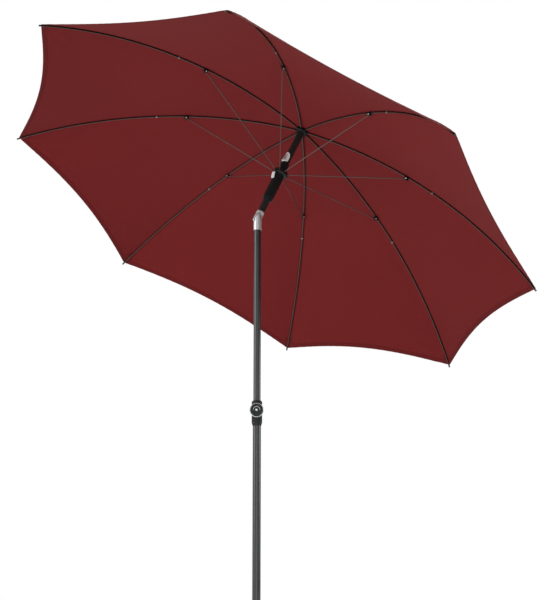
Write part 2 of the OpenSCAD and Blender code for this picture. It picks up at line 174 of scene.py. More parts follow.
class Shape:
    """Collects closed solids into one mesh."""

    # A profile that reaches its axis ends in a ring of this radius
    POINT_R = 0.02

    def __init__(self):
        self.points = []
        self.faces = []
        self.uvs = []
        self.count = 0

    def add(self, points, faces, uv=None):
        """Adds a solid, whose flat coordinates are in metres and may be left out."""
        points = np.asarray(points, float).reshape(-1, 3)
        self.points.append(points)
        self.faces += [[i + self.count for i in face] for face in faces]
        self.uvs.append(points[:, :2] * MM if uv is None else np.asarray(uv, float).reshape(-1, 2))
        self.count += len(points)

    def loft(self, rings, uv=None, wrap=False):
        """Joins closed rings, given as rings x points x 3, and closes both ends or wraps to the first."""
        rings = np.asarray(rings, float)
        n, m = rings.shape[:2]
        faces = []
        for i in range(n if wrap else n - 1):
            for j in range(m):
                a, b = i * m + j, i * m + (j + 1) % m
                up = ((i + 1) % n) * m - i * m
                faces.append([a, b, b + up, a + up])
        if not wrap:
            faces.append(list(range(m - 1, -1, -1)))
            faces.append(list(range((n - 1) * m, n * m)))
        self.add(rings.reshape(-1, 3), faces, uv)

    def shell(self, under, over, uv):
        """A closed sheet between two grids, given as rows x columns x 3."""
        n, m = under.shape[:2]
        rings = np.concatenate([under, over[:, ::-1]], axis=1)
        ring_uv = np.concatenate([uv, uv[:, ::-1]], axis=1)
        faces = []
        for i in range(n - 1):
            for j in range(2 * m):
                a, b = i * 2 * m + j, i * 2 * m + (j + 1) % (2 * m)
                faces.append([a, b, b + 2 * m, a + 2 * m])
        last = (n - 1) * 2 * m
        for j in range(m - 1):
            a, b = j, j + 1
            c, d = 2 * m - 2 - j, 2 * m - 1 - j
            faces.append([d, c, b, a])
            faces.append([a + last, b + last, c + last, d + last])
        self.add(rings.reshape(-1, 3), faces, ring_uv)

    def turned(self, profile, origin, axis, side, steps=32):
        """Turns a profile of (along, radius) round an axis. The first and last radius are 0."""
        ring = circle(full_turn(steps), side, np.cross(axis, side))
        self.loft([origin + a * axis + max(r, self.POINT_R) * ring for a, r in profile])

    def done(self, name, k=None, sharp=35):
        """Makes the object, from spoke k's own directions if k is given."""
        points = np.concatenate(self.points)
        place = points * MM if k is None else in_metres(k, points)
        return build(name, place, self.faces, np.concatenate(self.uvs), sharp)


# ---- Materials ----

MATERIALS = {}


class Material:
    """A node material under construction."""

    def __init__(self, name, rough, metallic=0.0, **sockets):
        self.material = bpy.data.materials.new(name)
        self.material.use_nodes = True
        self.tree = self.material.node_tree
        self.shader = self.tree.nodes["Principled BSDF"]
        self.shader.inputs["Roughness"].default_value = rough
        self.shader.inputs["Metallic"].default_value = metallic
        for socket, value in sockets.items():
            self.shader.inputs[socket.replace("_", " ")].default_value = value
        self.normal = None
        MATERIALS[name] = self.material

    def node(self, kind, inputs=None, **options):
        node = self.tree.nodes.new("ShaderNode" + kind)
        for option, value in options.items():
            setattr(node, option, value)
        for socket, value in (inputs or {}).items():
            self.put(node.inputs[socket], value)
        return node

    def put(self, socket, value):
        if isinstance(value, bpy.types.NodeSocket):
            self.tree.links.new(value, socket)
        else:
            socket.default_value = value

    def place(self, stretch=(1, 1, 1), source="Object"):
        """Coordinates in metres, scaled along each axis."""
        coordinates = self.node("TexCoord").outputs[source]
        mapping = self.node("Mapping", {"Vector": coordinates, "Scale": stretch})
        return mapping.outputs["Vector"]

    def noise(self, scale, detail=4.0, stretch=(1, 1, 1), rough=0.55, source="Object"):
        place = self.place(stretch, source)
        inputs = {"Vector": place, "Scale": scale, "Detail": detail, "Roughness": rough}
        return self.node("TexNoise", inputs).outputs["Fac"]

    def cells(self, scale, place=None):
        """A random value from 0 to 1 for each of many small cells."""
        inputs = {"Vector": place or self.place(), "Scale": scale}
        colours = self.node("TexVoronoi", inputs).outputs["Color"]
        return self.node("SeparateColor", {"Color": colours}).outputs["Red"]

    def remap(self, value, low, high, to_low, to_high):
        inputs = {"Value": value, "From Min": low, "From Max": high, "To Min": to_low, "To Max": to_high}
        return self.node("MapRange", inputs, clamp=True).outputs["Result"]

    def ramp(self, value, *stops):
        """A colour ramp with stops of (position, colour)."""
        node = self.node("ValToRGB", {"Fac": value})
        elements = node.color_ramp.elements
        while len(elements) < len(stops):
            elements.new(0.5)
        for element, (position, colour) in zip(elements, stops):
            element.position = position
            element.color = (*colour, 1)
        return node.outputs["Color"]

    def total(self, a, b):
        return self.node("Math", {0: a, 1: b}, operation="ADD").outputs[0]

    def product(self, a, b):
        return self.node("Math", {0: a, 1: b}, operation="MULTIPLY").outputs[0]

    def average(self, a, b, share=0.5):
        """The mean of a and b, where a counts for share."""
        return self.total(self.product(a, share), self.product(b, 1 - share))

    def dot(self, a, b):
        return self.node("VectorMath", {0: a, 1: b}, operation="DOT_PRODUCT").outputs["Value"]

    def mix(self, share, a, b, blend="MIX"):
        node = self.node("Mix", data_type="RGBA", blend_type=blend)
        self.put(node.inputs["Factor"], share)
        for socket, value in (("A", a), ("B", b)):
            target = [i for i in node.inputs if i.name == socket and i.type == "RGBA"][0]
            self.put(target, value if isinstance(value, bpy.types.NodeSocket) else (*value, 1))
        return [o for o in node.outputs if o.type == "RGBA"][0]

    def shaded(self, colour, shade):
        """The colour times a grey."""
        grey = self.node("CombineColor", {"Red": shade, "Green": shade, "Blue": shade}).outputs["Color"]
        return self.mix(1.0, colour, grey, "MULTIPLY")

    def edges(self, radius):
        """Rounds the shading over edges, and returns 1 on an edge and 0 on a flat."""
        bevel = self.node("Bevel", {"Radius": radius}, samples=4)
        self.normal = bevel.outputs["Normal"]
        flat = self.node("NewGeometry").outputs["Normal"]
        return self.remap(self.dot(self.normal, flat), 0.9, 0.995, 1, 0)

    def bump(self, height, distance, strength):
        inputs = {"Height": height, "Distance": distance, "Strength": strength}
        if self.normal is not None:
            inputs["Normal"] = self.normal
        self.normal = self.node("Bump", inputs).outputs["Normal"]

    def finish(self, colour, rough=None):
        self.put(self.shader.inputs["Base Color"], colour)
        if rough is not None:
            self.put(self.shader.inputs["Roughness"], rough)
        if self.normal is not None:
            self.put(self.shader.inputs["Normal"], self.normal)


# A wave texture of scale 1 repeats over this length
WAVE_LENGTH = 0.314


def cloth_material(name, dark, light, thread=0.9):
    """Woven polyester, with threads crossing along the piece's own flat coordinates in metres."""
    m = Material(name, rough=0.85, Sheen_Weight=0.03, Sheen_Roughness=0.5, Specular_IOR_Level=0.06)
    m.shader.inputs["Sheen Tint"].default_value = (1.0, 0.4, 0.38, 1)
    wave_inputs = {"Vector": m.place(source="UV"), "Scale": WAVE_LENGTH / (thread * MM), "Distortion": 0.0}
    waves = [m.node("TexWave", wave_inputs, bands_direction=axis).outputs["Fac"] for axis in ("X", "Y")]
    weave = m.product(waves[0], waves[1])
    slubs = [m.noise(1.0, 2.0, stretch, source="UV") for stretch in ((1400, 30, 1), (30, 1400, 1))]
    threads = m.average(slubs[0], slubs[1])
    share = m.average(threads, m.noise(2.3, 3.0), 0.75)
    colour = m.mix(m.remap(share, 0.35, 0.65, 0, 1), dark, light)
    colour = m.shaded(colour, m.remap(weave, 0, 1, 0.9, 1.04))
    m.bump(m.total(weave, m.product(threads, 0.6)), 0.00012, 0.5)
    m.finish(colour, m.remap(threads, 0.3, 0.7, 0.76, 0.9))


def paint_material(name, dark, light, worn, rough, grain=900.0, wear=0.5, gloss=0.5):
    """Powder coat or moulded plastic: a fine pebbled skin, faint scuffs and paler, worn edges."""
    m = Material(name, rough=rough, Specular_IOR_Level=gloss)
    edge_share = m.edges(0.0006)
    cloudy = m.noise(14.0, 4.0)
    scuffs = m.remap(m.noise(260.0, 5.0, (1, 1, 0.06), 0.7), 0.64, 0.78, 0, 0.35)
    patchy = m.remap(m.noise(90.0, 4.0), 0.42, 0.6, 0, wear)
    colour = m.mix(m.remap(cloudy, 0.35, 0.65, 0, 1), dark, light)
    colour = m.mix(scuffs, colour, worn)
    colour = m.mix(m.product(edge_share, patchy), colour, worn)
    m.bump(m.noise(grain, 3.0), 0.00006, 0.6)
    uneven = m.remap(cloudy, 0.3, 0.7, rough - 0.05, rough + 0.06)
    m.finish(colour, m.total(uneven, m.product(scuffs, 0.25)))


def rib_material(name):
    """Dark steel, coloured by where it faces: the under side a lighter red-brown, as a painted highlight with a
    painted reflection of the red cloth, and the flanks near black, as painted shade.
    """
    m = Material(name, rough=0.3, Specular_IOR_Level=0.2)
    m.edges(0.0004)
    facing = m.dot(m.node("TexCoord").outputs["Normal"], tuple(UP))
    streaks = m.noise(300.0, 4.0)
    # Painted light by the normal: 1 on the under side, a painted highlight, and 0 on the flanks, painted shade
    painted_lit_underside = m.remap(m.total(facing, m.product(streaks, 0.3)), -0.65, -0.1, 1, 0)
    # The painted highlight's red-brown, which stands in for light from below and the red cloth's reflection
    painted_highlight_brown = m.mix(m.remap(streaks, 0.35, 0.65, 0, 1), (0.040, 0.025, 0.020), (0.062, 0.041, 0.034))
    m.bump(m.noise(1200.0, 3.0), 0.00004, 0.5)
    m.finish(m.mix(painted_lit_underside, (0.002, 0.002, 0.002), painted_highlight_brown), m.remap(streaks, 0.3, 0.7, 0.24, 0.4))


def metal_material(name, dark, light, rough, metallic, spangle=False):
    """Bare, plated or brushed metal with fine marks and slightly brighter edges."""
    m = Material(name, rough=rough, metallic=metallic)
    edge_share = m.edges(0.0005)
    brushed = m.noise(1500.0, 3.0, (1, 1, 0.04))
    share = m.average(m.cells(220.0) if spangle else brushed, m.noise(40.0, 3.0))
    colour = m.mix(m.remap(share, 0.3, 0.7, 0, 1), dark, light)
    colour = m.mix(m.product(edge_share, 0.5), colour, [c * 1.15 for c in light])
    m.bump(brushed, 0.00002, 0.3)
    m.finish(colour, m.remap(share, 0.3, 0.7, rough - 0.04, rough + 0.06))


def stone_material(name):
    """Cast granite: crisp grey, pale, dark and rusty grains of two sizes, pitted where a grain has gone."""
    m = Material(name, rough=0.6)
    edge_share = m.edges(0.002)
    warp = m.node("TexNoise", {"Vector": m.place(), "Scale": 500.0, "Detail": 2.0}).outputs["Color"]
    nudge = m.node("VectorMath", {0: warp, "Scale": 0.0016}, operation="SCALE").outputs["Vector"]
    place = m.node("VectorMath", {0: m.place(), 1: nudge}, operation="ADD").outputs["Vector"]
    coarse, fine = [m.cells(scale, place) for scale in (300.0, 620.0)]
    grains = [
        (0.0, (0.045, 0.045, 0.048)), (0.16, (0.07, 0.07, 0.073)), (0.22, (0.24, 0.238, 0.232)),
        (0.55, (0.34, 0.336, 0.328)), (0.80, (0.42, 0.415, 0.405)), (0.86, (0.33, 0.25, 0.2)),
        (0.92, (0.62, 0.61, 0.59)), (1.0, (0.72, 0.71, 0.69))
    ]
    patches = m.remap(m.noise(170.0, 4.0), 0.42, 0.58, 0.25, 0.8)
    colour = m.mix(patches, m.ramp(coarse, *grains), m.ramp(fine, *grains))
    colour = m.shaded(colour, m.remap(m.noise(9.0, 3.0), 0.3, 0.7, 0.9, 1.06))
    colour = m.mix(m.product(edge_share, 0.3), colour, (0.5, 0.49, 0.47))
    pits = m.remap(coarse, 0.0, 0.14, 0, 1)
    m.bump(m.total(pits, m.product(m.noise(700.0, 5.0), 0.6)), 0.0004, 0.5)
    m.finish(colour, m.remap(fine, 0.0, 1.0, 0.48, 0.72))


cloth_material("canopy_cloth", (0.108, 0.0098, 0.0102), (0.130, 0.0124, 0.0128))
# A darker copy of the canopy cloth for the hem, seams and patches: painted shade of the folded-over layers
cloth_material("shaded_hem_cloth", (0.085, 0.0080, 0.0084), (0.108, 0.0104, 0.0108))
cloth_material("thread_red", (0.14, 0.0145, 0.015), (0.20, 0.022, 0.023), thread=0.35)
paint_material("anthracite_metal", (0.013, 0.015, 0.016), (0.018, 0.020, 0.021), (0.08, 0.08, 0.085), 0.30)
# A darker copy of the anthracite paint for the upper tube: painted shade under the canopy
paint_material("shaded_tube_paint", (0.008, 0.012, 0.012), (0.012, 0.016, 0.016), (0.03, 0.035, 0.035), 0.36,
               gloss=0.35)
paint_material("black_plastic", (0.006, 0.008, 0.008), (0.009, 0.0115, 0.0115), (0.02, 0.022, 0.022), 0.42,
               grain=1300.0, gloss=0.22)
paint_material("grey_plastic", (0.50, 0.50, 0.50), (0.58, 0.58, 0.58), (0.68, 0.68, 0.68), 0.36,
               grain=1300.0)
rib_material("rib_metal")
paint_material("rib_fitting", (0.0025, 0.0035, 0.0035), (0.004, 0.005, 0.005), (0.015, 0.016, 0.016), 0.45,
               grain=1500.0, gloss=0.14)
# The stretchers' brown tint is a painted reflection of the red cloth on dark steel
paint_material("stretcher_metal", (0.040, 0.025, 0.021), (0.060, 0.038, 0.033), (0.13, 0.10, 0.09), 0.36,
               gloss=0.35)
paint_material("rubber", (0.012, 0.012, 0.012), (0.02, 0.02, 0.02), (0.06, 0.058, 0.055), 0.85,
               grain=500.0, wear=0.3)
metal_material("silver_trim", (0.40, 0.42, 0.42), (0.52, 0.54, 0.54), 0.3, 0.48)
metal_material("pressed_steel", (0.62, 0.63, 0.63), (0.74, 0.75, 0.75), 0.42, 0.2)
metal_material("zinc_steel", (0.40, 0.40, 0.41), (0.56, 0.56, 0.57), 0.36, 0.8, spangle=True)
metal_material("rivet_steel", (0.66, 0.66, 0.66), (0.8, 0.8, 0.8), 0.35, 0.4)
metal_material("dull_steel", (0.17, 0.16, 0.155), (0.27, 0.26, 0.25), 0.4, 0.5)
stone_material("stone")

# A CAD node takes the material of its slot, apart from these
# The upper tube's darker paint is painted shade under the canopy
NODE_MATERIALS = {"upper_tube": "shaded_tube_paint", "hub": "rib_fitting"}
SLOT_OF = {part["node"]: part["material_slot"] for part in frame["record"]["subparts"]}
for node_name, node_object in frame["nodes"].items():
    finish = MATERIALS[NODE_MATERIALS.get(node_name, SLOT_OF[node_name])]
    if not node_object.material_slots:
        node_object.data.materials.append(finish)
    for material_slot in node_object.material_slots:
        material_slot.material = finish


def piece(obj, body, slot_name, material=None, replaced=()):
    """Gives a new piece its finish and its body."""
    obj.data.materials.append(MATERIALS[material or slot_name])
    if replaced:
        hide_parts(*replaced)
    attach(obj, body)
    return obj


# ---- Cloth ----

# Faces of the cloth, as heights above the rib's centre line
CLOTH_UNDER = 4.4
CLOTH_OVER = 5.0
CLOTH_START_R = 24.0
# Length of a gore along its rib, to name distances from the rim
RADIAL_L = 1045.0

# Grid of a gore: shares of the way out, closer at the rim, and shares across, closer at the rib
ROWS = np.concatenate([np.linspace(0, 0.93, 120), np.linspace(0.9345, 1, 16)])
HALF_COLUMNS = 0.5 * (np.linspace(0, 1, 23) ** 1.5)
COLUMNS = np.concatenate([-HALF_COLUMNS[:0:-1], HALF_COLUMNS])


def between_ribs(t):
    """0 over a rib and 1 in the middle between two."""
    return (4 * np.abs(t) * (1 - np.abs(t))) ** 1.15


def cloth_radius(u, t):
    """Radius at share u of the way out. Between the ribs the rim is cut back."""
    cut_back = SCALLOP / CANOPY_R * between_ribs(t) / math.cos(STEP / 2)
    return CLOTH_START_R + (CANOPY_R - CLOTH_START_R) * u * (1 - cut_back)


def creases(k, u, t, r, off_rib):
    """How far the cloth's creases lift it, where r is the radius and off_rib the distance to the rib."""
    # No two gores crease alike
    phase = 1.7 * k

    # Puckers follow one another along the seam, in a narrow band on each side of it
    run = r + 9 * np.sin(r / 71 + phase)
    beside_seam = np.exp(-((off_rib - 6) / 15) ** 2) * smooth(0.05, 0.2, u)
    pucker = 0.4 * np.sin(run / 5.2 + phase) * beside_seam

    # The stitched rim ripples
    from_rim = (1 - u) * RADIAL_L
    ripple = 0.25 * np.sin(150 * t + 3 * np.sin(17 * t + phase)) * np.exp(-from_rim / 22)

    # Folds fan out from the rib's tip, which pulls the corner
    to_tip = CANOPY_R - r
    reach = np.hypot(to_tip, off_rib)
    angle = np.arctan2(off_rib, to_tip + 1e-6)
    near_tip = np.exp(-reach / 95) * smooth(12, 60, reach) * smooth(0.06, 0.3, angle)
    folds = 1.3 * np.sin(15 * angle + phase) * near_tip
    return pucker + ripple + folds


def cloth(k, u, t, lift):
    """Points of gore k at share u of the way out and t across, from -0.5 to 0.5 with 0 over the rib."""
    u, t = np.broadcast_arrays(np.asarray(u, float), np.asarray(t, float))
    r = cloth_radius(u, t)
    x = r * (1 - np.abs(t) * (1 - math.cos(STEP)))
    y = r * t * math.sin(STEP)
    z = rib_rise(r) - CLOTH_SAG * between_ribs(t) * u + lift / np.cos(rib_slope(r))
    # The creases die out before the next gore, so that the edges meet
    fade = 1 - smooth(0.3, 0.48, np.abs(t))
    z = z + creases(k, u, t, r, np.abs(y)) * fade
    return np.stack([x, y, z], axis=-1)


def share_across(u, y):
    """The share across at which the cloth is y from the rib, at share u of the way out."""
    radius = CLOTH_START_R + (CANOPY_R - CLOTH_START_R) * np.asarray(u)
    return np.asarray(y) / (radius * math.sin(STEP))


def flat_uv(across, u):
    """Flat coordinates in metres of points that are across from the rib, at share u of the way out."""
    return np.stack(np.broadcast_arrays(across * MM, u * RADIAL_L * MM), axis=-1)


def gore(k):
    """One eighth of the canopy, centred on its rib."""
    u, t = ROWS[:, None], COLUMNS[None, :]
    uv = flat_uv(cloth_radius(u, t) * t * math.sin(STEP), u)
    shape = Shape()
    shape.shell(cloth(k, u, t, CLOTH_UNDER), cloth(k, u, t, CLOTH_OVER), uv)
    return piece(shape.done(f"cloth_{k}", k, sharp=50), f"rib_{k}", "canopy_cloth", replaced=[f"canopy_{k}"])


def rim_hem(k):
    """The rim, turned under and stitched down."""
    # Section as (distance from the rim, height above the rib)
    section = np.array([
        (14, 4.42), (14, 3.95), (13.5, 3.82), (7, 3.8), (0.4, 3.82), (-0.6, 3.98), (-1.15, 4.4),
        (-1.15, 4.85), (-0.7, 5.2), (0.2, 5.3), (1.3, 5.05), (1.3, 4.7), (3, 4.6), (9, 4.55)
    ])
    u = 1 - section[None, :, 0] / RADIAL_L
    lift = section[None, :, 1]
    t = np.linspace(-0.5, 0.5, 91)[:, None]
    rim_metres = 0.75
    uv = np.stack(np.broadcast_arrays(t * rim_metres, u + lift * MM), axis=-1)
    shape = Shape()
    shape.loft(cloth(k, u, t, lift)[:, ::-1], uv[:, ::-1])
    return piece(shape.done(f"hem_{k}", k, sharp=60), f"rib_{k}", "canopy_cloth", "shaded_hem_cloth")


def rib_seam(k):
    """The felled seam over the rib, with its allowance underneath."""
    shares = np.linspace(0.012, 0.9995, 150)
    across = np.array([-5.6, -5.1, -2.6, 0, 2.6, 5.1, 5.6])
    # Each layer has its shares of the way out, and the heights of its two faces at each place across
    layers = (
        (shares, [4.9] * 7, [5.15, 5.5, 5.62, 5.7, 5.62, 5.5, 5.15]),
        (shares[:-2], [4.2, 3.85, 3.8, 3.8, 3.8, 3.85, 4.2], [4.5] * 7)
    )
    shape = Shape()
    for out, unders, overs in layers:
        u = out[:, None]
        t = share_across(u, across[None, :])
        under, over = [cloth(k, u, t, np.array([lifts])) for lifts in (unders, overs)]
        shape.shell(under, over, flat_uv(across[None, :], u))
    return piece(shape.done(f"seam_{k}", k, sharp=60), f"rib_{k}", "canopy_cloth", "shaded_hem_cloth")


def corner_patch(k):
    """A patch under the corner, where the rib's tip pulls."""
    from_rim = np.linspace(4, 48, 12)
    half_width = np.interp(from_rim, [4, 30, 48], [24, 13, 4])[:, None]
    u = (1 - from_rim / RADIAL_L)[:, None]
    grid = np.linspace(-1, 1, 9)[None, :]
    t = share_across(u, half_width * grid)
    # The patch is thinner at its sides
    under = 3.3 + np.where(np.abs(grid) == 1, 0.3, 0.0)
    shape = Shape()
    shape.shell(cloth(k, u, t, under), cloth(k, u, t, 3.9), flat_uv(half_width * grid, u))
    return piece(shape.done(f"corner_patch_{k}", k, sharp=60), f"rib_{k}", "canopy_cloth", "shaded_hem_cloth")


def stitch_row(k, shape, u, t, outward, lift):
    """A row of short threads lying on the cloth, running outward or across."""
    radius, length, near = 0.3, 3.9, 0.002
    u, t = np.broadcast_arrays(np.asarray(u, float), np.asarray(t, float))
    step_u, step_t = (near, 0.0) if outward else (0.0, near)
    centre = cloth(k, u, t, lift)
    ahead = cloth(k, u + step_u, t + step_t, lift)
    beside = cloth(k, u - step_t, t + step_u, lift)
    along = ahead - centre
    along /= np.linalg.norm(along, axis=-1, keepdims=True)
    normal = np.cross(along, beside - centre)
    normal /= np.linalg.norm(normal, axis=-1, keepdims=True)
    side = np.cross(normal, along)
    corners = np.radians([45, 135, 225, 315])
    faces = [[0, 2, 1], [0, 3, 2], [0, 4, 3], [0, 1, 4], [9, 5, 6], [9, 6, 7], [9, 7, 8], [9, 8, 5]]
    faces += [[1, 2, 6, 5], [2, 3, 7, 6], [3, 4, 8, 7], [4, 1, 5, 8]]
    for c, a, n, s in zip(centre, along, normal, side):
        ring = radius * circle(corners, s, n)
        ends = [c + share * length * a for share in (-0.5, -0.36, 0.36, 0.5)]
        shape.add([ends[0], *(ends[1] + ring), *(ends[2] + ring), ends[3]], faces)


def stitching(k):
    """Two rows along the seam and one along the rim, seen on both faces."""
    step, rim_l, from_rim = 6.0, 765.0, 11.5
    shape = Shape()
    seam_u = np.arange(30, RADIAL_L - 8, step) / RADIAL_L
    for y in (-3.9, 3.9):
        for lift in (5.72, 3.62):
            stitch_row(k, shape, seam_u, share_across(seam_u, y), True, lift)
    rim_t = np.arange(-0.5 + 0.004, 0.5, step / rim_l)
    for lift in (3.62, 5.15):
        stitch_row(k, shape, 1 - from_rim / RADIAL_L, rim_t, False, lift)
    return piece(shape.done(f"stitches_{k}", k), f"rib_{k}", "canopy_cloth", "thread_red")


for k in SPOKES:
    sheet = gore(k)
    sewn_on = [rim_hem(k), rib_seam(k), corner_patch(k), stitching(k)]
    for soft in [sheet, *sewn_on]:
        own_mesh(soft)


# ---- Ribs ----

# Section of the rolled channel, open towards the cloth, as (across, normal)
CHANNEL = (
    [(-2.2, 2.4)]
    + arc((-0.7, -0.8), 1.5, 180, 270, 6)
    + arc((0.7, -0.8), 1.5, 270, 360, 6)
    + [(2.2, 2.4), (1.5, 2.4)]
    + arc((0.7, -0.8), 0.8, 0, -90, 3)
    + arc((-0.7, -0.8), 0.8, -90, -180, 3)
    + [(-1.5, 2.4)]
)


def rib(k):
    """The curved channel, and the eye that the hub's wire passes through."""
    shape = Shape()
    rings = []
    for r in np.linspace(27, 999, 110):
        point, along, normal = rib_axes(r)
        rings.append([point + y * ACROSS + n * normal for y, n in CHANNEL])
    shape.loft(rings)
    eye = arc((0, 0), EYE_R, 60, 300, 14) + [(13, -2.6), (13, 2.4)]
    point, along, normal = rib_axes(17)
    rings = []
    for y, inset in ((-1.2, 0.3), (-0.9, 0), (0.9, 0), (1.2, 0.3)):
        scale = 1 - inset / EYE_R
        rings.append([point + a * scale * along + b * scale * normal + y * ACROSS for a, b in eye])
    shape.loft(rings)
    return piece(shape.done(f"rib_channel_{k}", k), f"rib_{k}", "rib_metal", replaced=[f"rib_{k}"])


def rib_bracket(k):
    """The nylon saddle that a stretcher's end is pinned in, slotted for it."""
    half_l = 8
    point, along, normal = rib_axes(STRETCHER_R)
    shape = Shape()
    rings = []
    for x in (-8, -7.4, -6, -3.5, 0, 3.5, 6, 7.4, 8):
        # Towards both ends the bottom curves up, and the outline draws in
        edge = abs(x) / half_l
        bottom = -12 + 6.5 * max(0, edge - 0.35) ** 1.5 * 1.9
        inset = 0.7 if edge > 0.95 else (0.15 if edge > 0.9 else 0)
        w, top = 4.6 - inset, 3.4 - inset
        section = (
            arc((1.2 - w, top - 1.2), 1.2, 180, 90, 3)
            + arc((w - 1.2, top - 1.2), 1.2, 90, 0, 3)
            + arc((w - 0.9, bottom + 0.9), 0.9, 0, -90, 3)
            + [(1.6, bottom), (1.6, -4.2), (-1.6, -4.2), (-1.6, bottom)]
            + arc((0.9 - w, bottom + 0.9), 0.9, -90, -180, 3)
        )
        rings.append([point + x * along + y * ACROSS + n * normal for y, n in section])
    shape.loft(rings)
    return piece(shape.done(f"rib_bracket_{k}", k), f"rib_{k}", "rib_fitting", replaced=[f"rib_fittings_{k}"])


def stretcher_pin():
    """Centre of the rivet that holds the stretcher in its bracket, and the rib's direction there."""
    point, along, normal = rib_axes(STRETCHER_R)
    return point - PIN_DROP * normal, along


def bracket_rivet(k):
    shape = Shape()
    pin, along = stretcher_pin()
    head = [(5.9, 0), (5.85, 0.9), (5.6, 1.7), (5.2, 2.3), (4.7, 2.6), (4.5, 2.55), (4.5, 1.5)]
    profile = [(-a, r) for a, r in head] + head[::-1]
    shape.turned(profile, pin, ACROSS, along, 28)
    return piece(shape.done(f"bracket_rivet_{k}", k), f"rib_{k}", "zinc_steel", "rivet_steel")


def cloth_clip(k):
    """A small sprung band that ties the cloth to the rib."""
    shape = Shape()
    point, along, normal = rib_axes(CLIP_R)
    outline = arc((-1.6, 1.6), 1.7, 180, 90, 4) + arc((1.6, 1.6), 1.7, 90, 0, 4)
    outline += arc((1.5, -1.9), 1.8, 0, -90, 5) + arc((-1.5, -1.9), 1.8, -90, -180, 5)
    middle = -0.2
    rings = []
    for x, grow in ((-2.4, 0.93), (-2.0, 1.0), (-0.8, 1.02), (0.8, 1.02), (2.0, 1.0), (2.4, 0.93)):
        rings.append([point + x * along + y * grow * ACROSS + (middle + (n - middle) * grow) * normal
                      for y, n in outline])
    shape.loft(rings)
    return piece(shape.done(f"cloth_clip_{k}", k), f"rib_{k}", "zinc_steel", "dull_steel")


def rib_tip(k):
    """The sleeve over a rib's end, with the small ball that stands past the cloth."""
    shape = Shape()
    point, along, normal = rib_axes(CANOPY_R)
    profile = [(-14, 0), (-14, 3.3), (-13.6, 3.5), (-9, 3.5), (-8.5, 3.3), (1.0, 3.1), (1.8, 2.2), (2.6, 2.1),
               (3.2, 2.9), (4.2, 3.35), (5.4, 3.3), (6.5, 2.6), (7.1, 1.4), (7.3, 0)]
    shape.turned(profile, point, along, ACROSS, 28)
    return piece(shape.done(f"rib_tip_{k}", k), f"rib_{k}", "rib_metal")


for k in SPOKES:
    for make in (rib, rib_bracket, bracket_rivet, cloth_clip, rib_tip):
        make(k)


# ---- Stretchers ----

def flat_eye(shape, centre, along, normal, hole_r):
    """A flat ring round a pin that lies across the spoke."""
    half, c = 1.2, 0.35
    section = [(hole_r, c - half), (hole_r + c, -half), (EYE_R - c, -half), (EYE_R, c - half),
               (EYE_R, half - c), (EYE_R - c, half), (hole_r + c, half), (hole_r, half - c)]
    rings = [[centre + r * out + y * ACROSS for r, y in section]
             for out in circle(full_turn(28), along, normal)]
    shape.loft(rings, wrap=True)


def wire_ring(half_w, half_h):
    """Section of the wire as (across, rise): round where its sides are equal, and squarer as it flattens."""
    square = 2 / (2 + 3 * (half_h - half_w))
    ring = []
    for angle in full_turn(16):
        c, s = math.cos(angle), math.sin(angle)
        across = half_w * math.copysign(abs(c) ** square, c)
        rise = half_h * math.copysign(abs(s) ** square, s)
        ring.append((across, rise))
    return ring


def stretcher(k):
    """A steel wire, pressed flat and pierced at both ends."""
    shape = Shape()
    root = np.array([RUNNER_RING_R, 0, RUNNER_DROP])
    pin = stretcher_pin()[0]
    length = np.linalg.norm(pin - root)
    forward = (pin - root) / length
    rise = np.cross(forward, ACROSS)
    flat_eye(shape, root, forward, rise, 1.3)
    flat_eye(shape, pin, forward, rise, 2.0)
    # Stations along the wire, as (distance, half width, half height)
    ends = [(2.2, 1.15, 2.4), (5, 1.2, 2.3), (9, 1.3, 2.15), (14, 1.65, 1.9), (18, 1.8, 1.8)]
    stations = ends + [(s, 1.8, 1.8) for s in np.linspace(30, length - 40, 24)]
    stations += [(length - s, w, h) for s, w, h in reversed(ends[:-1])]
    shape.loft([[root + s * forward + y * ACROSS + z * rise for y, z in wire_ring(w, h)]
                for s, w, h in stations])
    return piece(shape.done(f"stretcher_rod_{k}", k), f"stretcher_{k}", "stretcher_metal",
                 replaced=[f"stretcher_{k}"])


for k in SPOKES:
    stretcher(k)


# ---- Catch plate ----

def catch_plate():
    """The pressed steel plate round the slot that the spring catch comes out of."""
    half_angle, half_w, inner_r, outer_r = np.radians(84), 18.5, 12.55, 13.3
    c = np.linspace(-1, 1, 41)[None, :]
    row = np.linspace(0, 1, 25)[:, None]
    angle = half_angle * c

    # Above the tilt pivot: a straight lower edge with round corners, and an arched upper one
    low = 258.5 + 4 * (1 - np.sqrt(1 - np.clip((np.abs(c) - 0.8) / 0.2, 0, 1) ** 2))
    high = 272 + 27 * np.sqrt(np.clip(1 - np.abs(c) ** 2.4, 0, 1))
    z = low + (high - low) * row - HUB_UP

    # The plate has a raised bead near its edge
    from_edge = np.minimum(np.minimum(row, 1 - row) * (high - low), (1 - np.abs(c)) * half_w)
    bead = smooth(0.2, 1.0, from_edge) * (1 - smooth(1.8, 3.0, from_edge))
    over_r = outer_r + 0.8 * bead - 0.5 * (1 - smooth(0, 0.5, from_edge))
    under_r = np.full_like(z, inner_r)
    under, over = [np.stack([r * np.cos(angle), r * np.sin(angle), z], axis=-1) for r in (under_r, over_r)]
    uv = np.stack(np.broadcast_arrays(angle * 13 * MM, z * MM), axis=-1)
    shape = Shape()
    shape.shell(under, over, uv)
    piece(shape.done("catch_plate", 1, sharp=50), "head", "silver_trim", "pressed_steel")


catch_plate()

# ---- Height knob and collar ----

KNOB_OUT = np.array([math.cos(KNOB_AZIMUTH), math.sin(KNOB_AZIMUTH), 0.0])
KNOB_UP = np.array([0.0, 0.0, 1.0])
KNOB_ACROSS = np.cross(KNOB_UP, KNOB_OUT)
KNOB_CENTRE = np.array([0.0, 0.0, KNOB_H])


